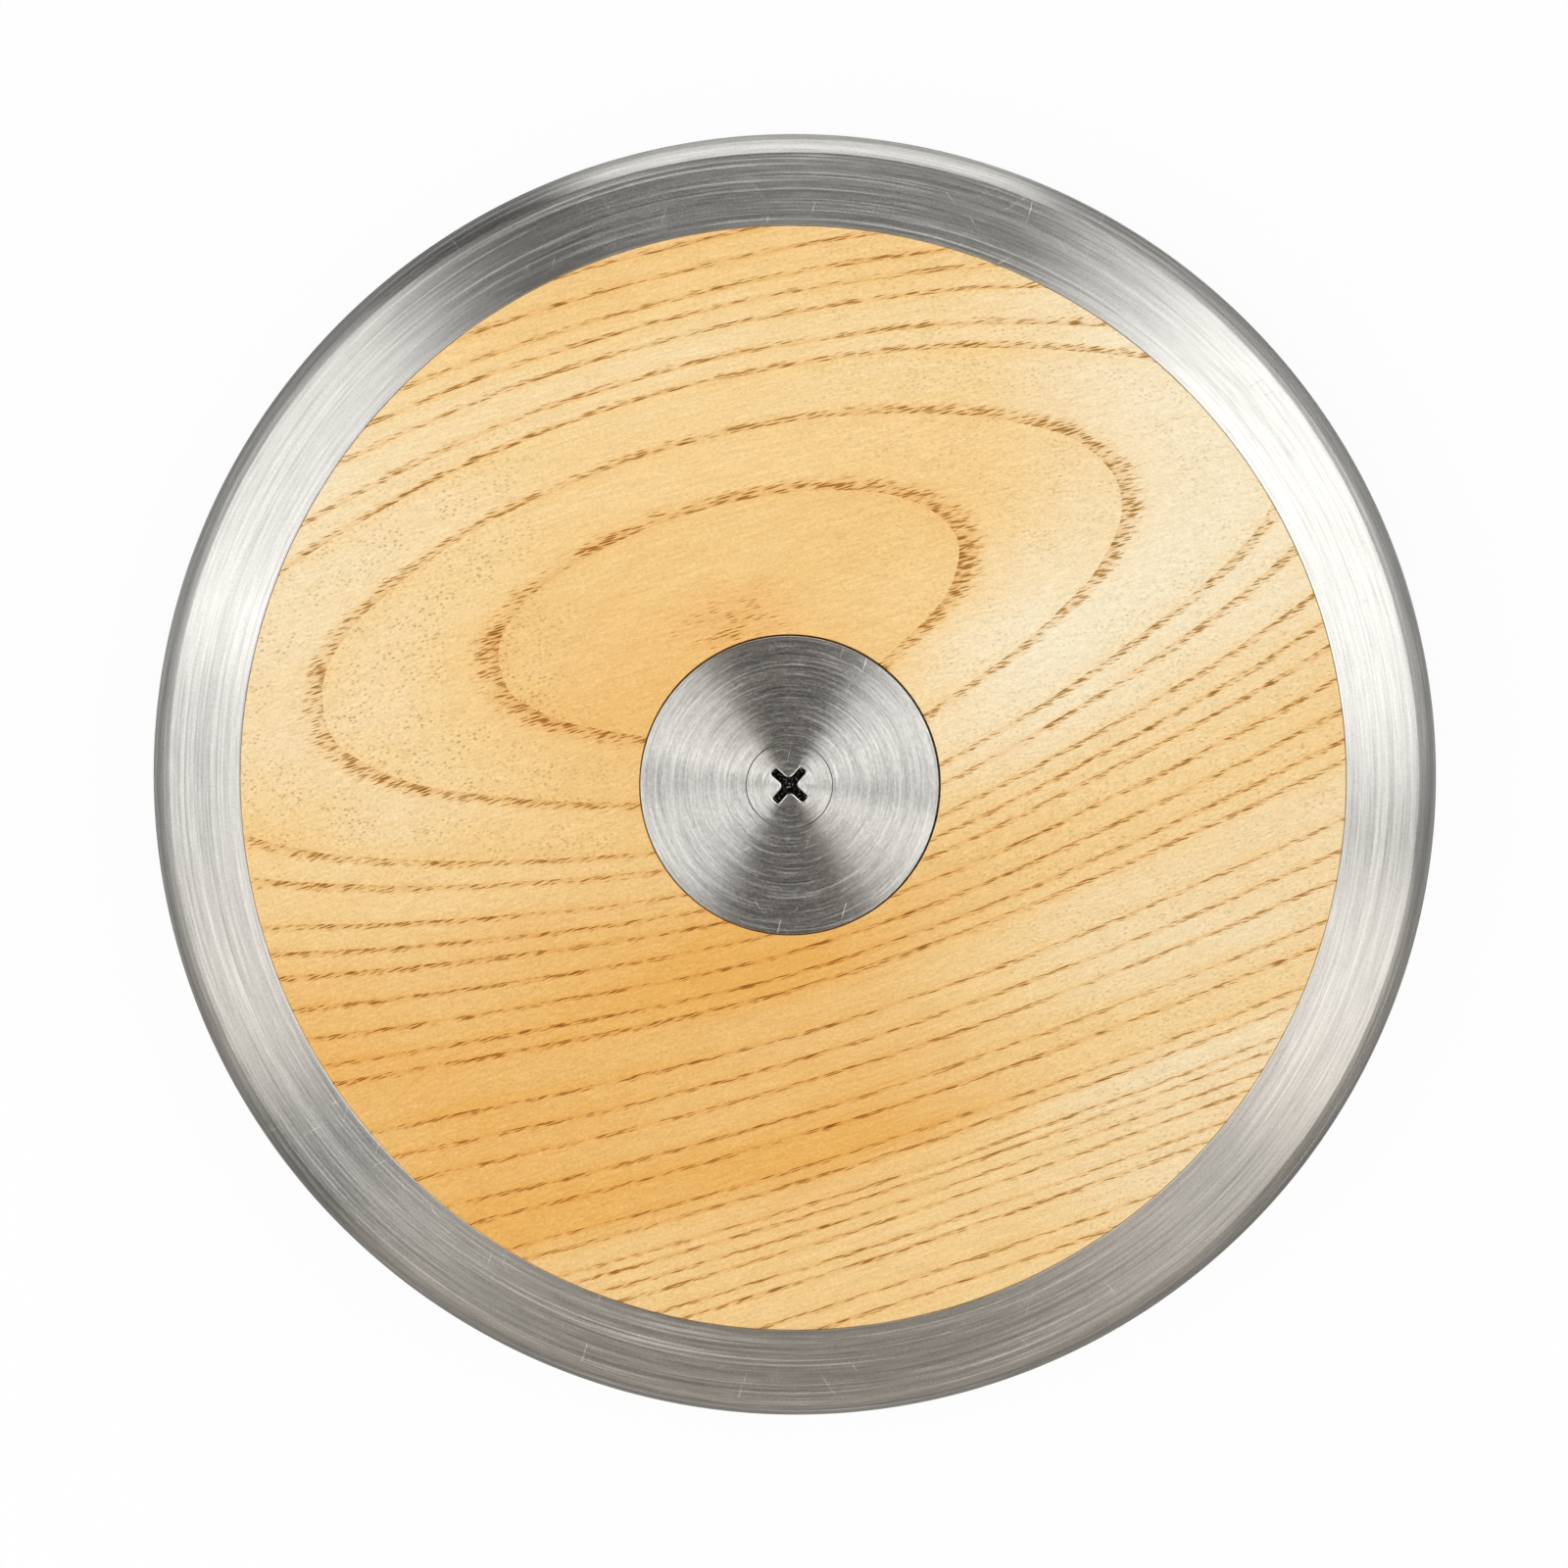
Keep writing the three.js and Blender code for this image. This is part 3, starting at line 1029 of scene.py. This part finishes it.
class DISCUS_OT_screws(bpy.types.Operator):
    """Make the two countersunk screws, threaded and with a cross recess"""

    bl_idname = "discus.screws"
    bl_label = "Centre Screws"

    def execute(self, context):
        form = Form()
        neck = form.top - form.head_height
        stub, overlap = 0.6, 0.5
        corners = [
            (0, form.top, 0),
            (form.head, form.top, 0.05),
            (form.head, form.top - form.land, 0.1),
            (form.screw, neck, 0.1),
            (form.screw, neck - stub, 0),
            (0, neck - stub, 0),
        ]
        material = turned_steel("screw_turned_steel", 1.4, roughness=0.315, worn=0.18)
        # The recess steel is painted shade, a dark colour for the shade in the cross recess, with painted
        # glints in it.
        inside = plain_steel("recess_painted_shade", finish().recess, 0.55, 1.5, 0.8)
        for where, face in HALVES.items():
            points = soften(corners)
            name = "centre_screw_" + where
            screw = turned(name + "_steel", points, material, 192, spread(points, 0.49, 0.01))
            cut(screw, threaded_shank(form, neck + overlap, material), "UNION")
            cut(screw, recess_cutter(form, (inside, material)))
            centred(screw, face, "screw_steel", name, crisp=28)
        return {"FINISHED"}


class DISCUS_OT_core(bpy.types.Operator):
    """Turn the core and bore it for both screws"""

    bl_idname = "discus.core"
    bl_label = "Tapped Core"

    def execute(self, context):
        form = Form()
        bevel = 0.8
        mouth = 1.0
        bore = form.screw + form.thread_gap
        upper = [
            (form.core, form.core_top - bevel, 0.08),
            (form.core - bevel, form.core_top, 0.08),
            (bore + mouth, form.core_top, 0.05),
            (bore, form.core_top - mouth, 0),
        ]
        material = turned_steel("core_turned_steel", 0.8, roughness=0.42)
        core = turned("core_steel", closed(upper + mirrored(upper)), material, 160)
        centred(core, 1, "core_steel", "core")
        return {"FINISHED"}


# Shims under each plate, and the gap between a shim and its screw in millimetres
SHIMS_EACH = 2
SHIM_PLAY = 0.5


class DISCUS_OT_shims(bpy.types.Operator):
    """Make the four calibration shims under the plates"""

    bl_idname = "discus.shims"
    bl_label = "Calibration Shims"

    def execute(self, context):
        form = Form()
        thick = sizes().shim_thickness / MM
        radius = sizes().shim_diameter / MM / 2
        hole = form.screw + SHIM_PLAY
        material = plain_steel("shim_steel", finish().plain_steel, 0.42, 2.0)
        for where, face in HALVES.items():
            for k in range(SHIMS_EACH):
                top = form.seat - k * thick
                corners = [
                    (hole, top - thick, 0.06),
                    (radius, top - thick, 0.12),
                    (radius, top, 0.12),
                    (hole, top, 0.06),
                ]
                name = f"calibration_shim_{where}_{k + 1}"
                shim = turned(name + "_steel", closed(corners), material, 160)
                centred(shim, face, "shim_steel", name)
        return {"FINISHED"}


class DISCUS_OT_dowels(bpy.types.Operator):
    """Make the dowels that key the rim to both sides"""

    bl_idname = "discus.dowels"
    bl_label = "Rim Dowels"

    def execute(self, context):
        form = Form()
        material = plain_steel("dowel_steel", finish().plain_steel, 0.36, 4.0)
        half, bevel = form.dowel_top, 0.5
        for k, place in enumerate(form.dowel_places()):
            name = f"rim_dowel_{k + 1}"
            dowel = pin(name + "_steel", form.dowel, -half, half, bevel, material, place)
            fitted(dowel, "dowel_steel", name)
        return {"FINISHED"}


# Studio


WHITE = (1, 1, 1, 1)

# Share of the floor that shines white to the camera, and how bright the steel mirrors it
WHITE_FLOOR = 0.95
MIRRORED_FLOOR = 0.17


def rays(tree):
    """Whether a ray comes from the camera, straight or through a piece, and whether from a mirror."""
    path = tree.add("ShaderNodeLightPath").output.node
    kinds = ("Is Camera Ray", "Is Transmission Ray", "Is Glossy Ray")
    seen, through, mirrored_ray = (Socket(tree, path.outputs[kind]) for kind in kinds)
    return seen + through, mirrored_ray


def floor_finish():
    """Pale floor that the camera sees as white, with the discus's shadow kept."""
    material, tree, (x, y, z) = new_material("floor_white")
    mottle = tree.noise(x, y, z, scale=0.004)
    shade = (mottle - 0.5) * 0.01 + 0.995
    tone = tree.shaded(rgba(finish().floor), shade)
    paper = tree.add("ShaderNodeBsdfDiffuse", None, {"Color": tone})
    seen, mirrored_ray = rays(tree)
    strength = seen + mirrored_ray * MIRRORED_FLOOR
    glow = tree.add("ShaderNodeEmission", None, {"Color": WHITE, "Strength": strength})
    share = (seen + mirrored_ray) * WHITE_FLOOR
    mixed = tree.add("ShaderNodeMixShader", None, {0: share, 1: paper, 2: glow})
    tree.add("ShaderNodeOutputMaterial", None, {"Surface": mixed})
    return material


# Soft panels of the studio: middle and half-width round the axis, lowest and highest tilt from
# straight overhead, all in degrees, and brightness
PANELS = (
    (22, 29, 12, 54, 2.34),
    (32, 12, 6, 26, 1.2),
    (57.5, 6.5, 35, 58, 2.25),
    (331, 15, 7, 61, 1.45),
    (299, 8, 9, 21, 2.4),
    (154.5, 19.5, 14, 56, 1.82),
    (190, 24, 26, 61, 1.57),
    (90, 23, 71, 106, 4.3),
    (270, 43, 45, 70, 1.35),
    (86, 10, 36, 60, 0.2),
)

# Share of the white backdrop that the steel mirrors, low down
BACKDROP = 0.04

# How far a panel's light fades round the axis, towards overhead and towards the ground, in degrees
PANEL_FADES = (4, 6, 13)


def studio_world():
    """A studio of soft panels over a white backdrop. The camera sees only the white."""
    world = bpy.data.worlds.new("studio")
    world.use_nodes = True
    world.node_tree.nodes.clear()
    tree = Tree(world.node_tree)
    x, y, z = tree.parts(tree.add("ShaderNodeTexCoord", output="Generated"))
    flat = (x * x + y * y).root().most(0.0001)
    tilt = z.maths("ARCCOSINE", z)
    light = 0.0
    soft, near_soft, far_soft = (math.radians(angle) for angle in PANEL_FADES)
    for *angles, strength in PANELS:
        turn, reach, top, bottom = map(math.radians, angles)
        facing = (x * math.cos(turn) + y * math.sin(turn)) / flat
        swing = facing.maths("ARCCOSINE", facing.least(0.99999).most(-0.99999))
        wide = tree.rise(swing, reach - soft, reach + soft, 1.0, 0.0, True)
        up = tree.rise(tilt, top - near_soft, top + near_soft, smooth=True)
        down = tree.rise(tilt, bottom - far_soft, bottom + far_soft, 1.0, 0.0, True)
        light = wide * up * down * strength + light
    seen, mirrored_ray = rays(tree)
    low = tree.rise(tilt, math.radians(60), math.radians(95), 0.0, BACKDROP, True)
    low_side = tree.rise(y, 0.0, -0.55, smooth=True)
    warmth = tree.blend(low_side, WHITE, (1.0, 0.91, 0.8, 1.0))
    studio = tree.add("ShaderNodeBackground", None, {"Color": warmth, "Strength": light})
    white = tree.add("ShaderNodeBackground", None, {"Color": WHITE, "Strength": 1.0})
    share = seen + mirrored_ray * low
    mixed = tree.add("ShaderNodeMixShader", None, {0: share, 1: studio, 2: white})
    tree.add("ShaderNodeOutputWorld", None, {"Surface": mixed})
    bpy.context.scene.world = world


# The lamp's place and width in metres, and its power in watts
LAMP_PLACE = (-0.45, -0.5, 1.4)
LAMP_WIDTH = 1.6
LAMP_POWER = 5.8

# The camera's lens in millimetres, its distance in metres, how far it leans from straight overhead in
# degrees, the way it leans, and the point it looks at in millimetres
CAMERA_LENS = 208.8
CAMERA_DISTANCE = 1.56
CAMERA_LEAN = 3.9
CAMERA_WAY = (0.427, 0.904)
CAMERA_AIM = (-1.64, -1.21)

# Half the floor's width and its gap under the discus, in metres
FLOOR_HALF = 6.0
FLOOR_GAP = 0.0001


def hang_lamp():
    """A soft round lamp that lights the wood and stays out of the steel's reflections."""
    data = bpy.data.lights.new("overhead", "AREA")
    data.shape = "DISK"
    data.size = LAMP_WIDTH
    data.energy = LAMP_POWER
    lamp = placed("overhead", data)
    lamp.location = LAMP_PLACE
    lamp.rotation_euler = (-Vector(LAMP_PLACE)).to_track_quat("-Z", "Y").to_euler()
    lamp.visible_glossy = False


def set_camera():
    """A camera almost straight overhead, with the x axis to the right in its picture."""
    data = bpy.data.cameras.new("camera")
    data.type = "PERSP"
    data.lens = CAMERA_LENS
    data.sensor_width = 36.0
    data.clip_start = 0.01
    data.clip_end = 50.0
    camera = placed("camera", data)
    lean = math.radians(CAMERA_LEAN)
    flat = math.sin(lean)
    away = Vector((CAMERA_WAY[0] * flat, CAMERA_WAY[1] * flat, math.cos(lean))).normalized()
    camera.location = Vector((*CAMERA_AIM, 0)) * MM + away * CAMERA_DISTANCE
    right = Vector((0, 1, 0)).cross(away).normalized()
    turn = Matrix((right, away.cross(right), away)).transposed()
    camera.rotation_euler = turn.to_euler()
    bpy.context.scene.camera = camera


class DISCUS_OT_stage(bpy.types.Operator):
    """Lay the floor, hang the lamp and set up the camera"""

    bl_idname = "discus.stage"
    bl_label = "Studio"

    def execute(self, context):
        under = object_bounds()[0].z - FLOOR_GAP
        mesh = bpy.data.meshes.new("floor")
        ways = ((-1, -1), (1, -1), (1, 1), (-1, 1))
        corners = [(x * FLOOR_HALF, y * FLOOR_HALF, under) for x, y in ways]
        mesh.from_pydata(corners, [], [(0, 1, 2, 3)])
        mesh.materials.append(floor_finish())
        floor = placed("floor", mesh)
        floor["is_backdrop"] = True
        studio_world()
        hang_lamp()
        set_camera()
        context.scene.view_settings.view_transform = "Standard"
        return {"FINISHED"}


OPERATORS = (
    DISCUS_OT_rim,
    DISCUS_OT_sides,
    DISCUS_OT_plates,
    DISCUS_OT_screws,
    DISCUS_OT_core,
    DISCUS_OT_shims,
    DISCUS_OT_dowels,
    DISCUS_OT_stage,
)


class DISCUS_PT_panel(bpy.types.Panel):
    """Lists the discus's pieces in the sidebar"""

    bl_idname = "DISCUS_PT_panel"
    bl_label = "Throwing Discus"
    bl_space_type = "VIEW_3D"
    bl_region_type = "UI"
    bl_category = "Discus"

    def draw(self, context):
        layout = self.layout
        for operator in OPERATORS:
            layout.operator(operator.bl_idname)
        for group in (sizes(), finish()):
            column = layout.column()
            for name in group.bl_rna.properties.keys():
                if name not in ("rna_type", "name"):
                    column.prop(group, name)


CLASSES = (DiscusSizes, DiscusFinish, *OPERATORS, DISCUS_PT_panel)


def register():
    """Registers the classes and the scene's sizes and colours."""
    for piece in CLASSES:
        bpy.utils.register_class(piece)
    bpy.types.Scene.discus_sizes = bpy.props.PointerProperty(type=DiscusSizes)
    bpy.types.Scene.discus_finish = bpy.props.PointerProperty(type=DiscusFinish)


def unregister():
    """Takes away what register added."""
    del bpy.types.Scene.discus_finish
    del bpy.types.Scene.discus_sizes
    for piece in reversed(CLASSES):
        bpy.utils.unregister_class(piece)


def main():
    """Builds every piece and the studio."""
    register()
    for operator in OPERATORS:
        getattr(bpy.ops.discus, operator.bl_idname.split(".")[1])()


if __name__ == "__main__":
    main()
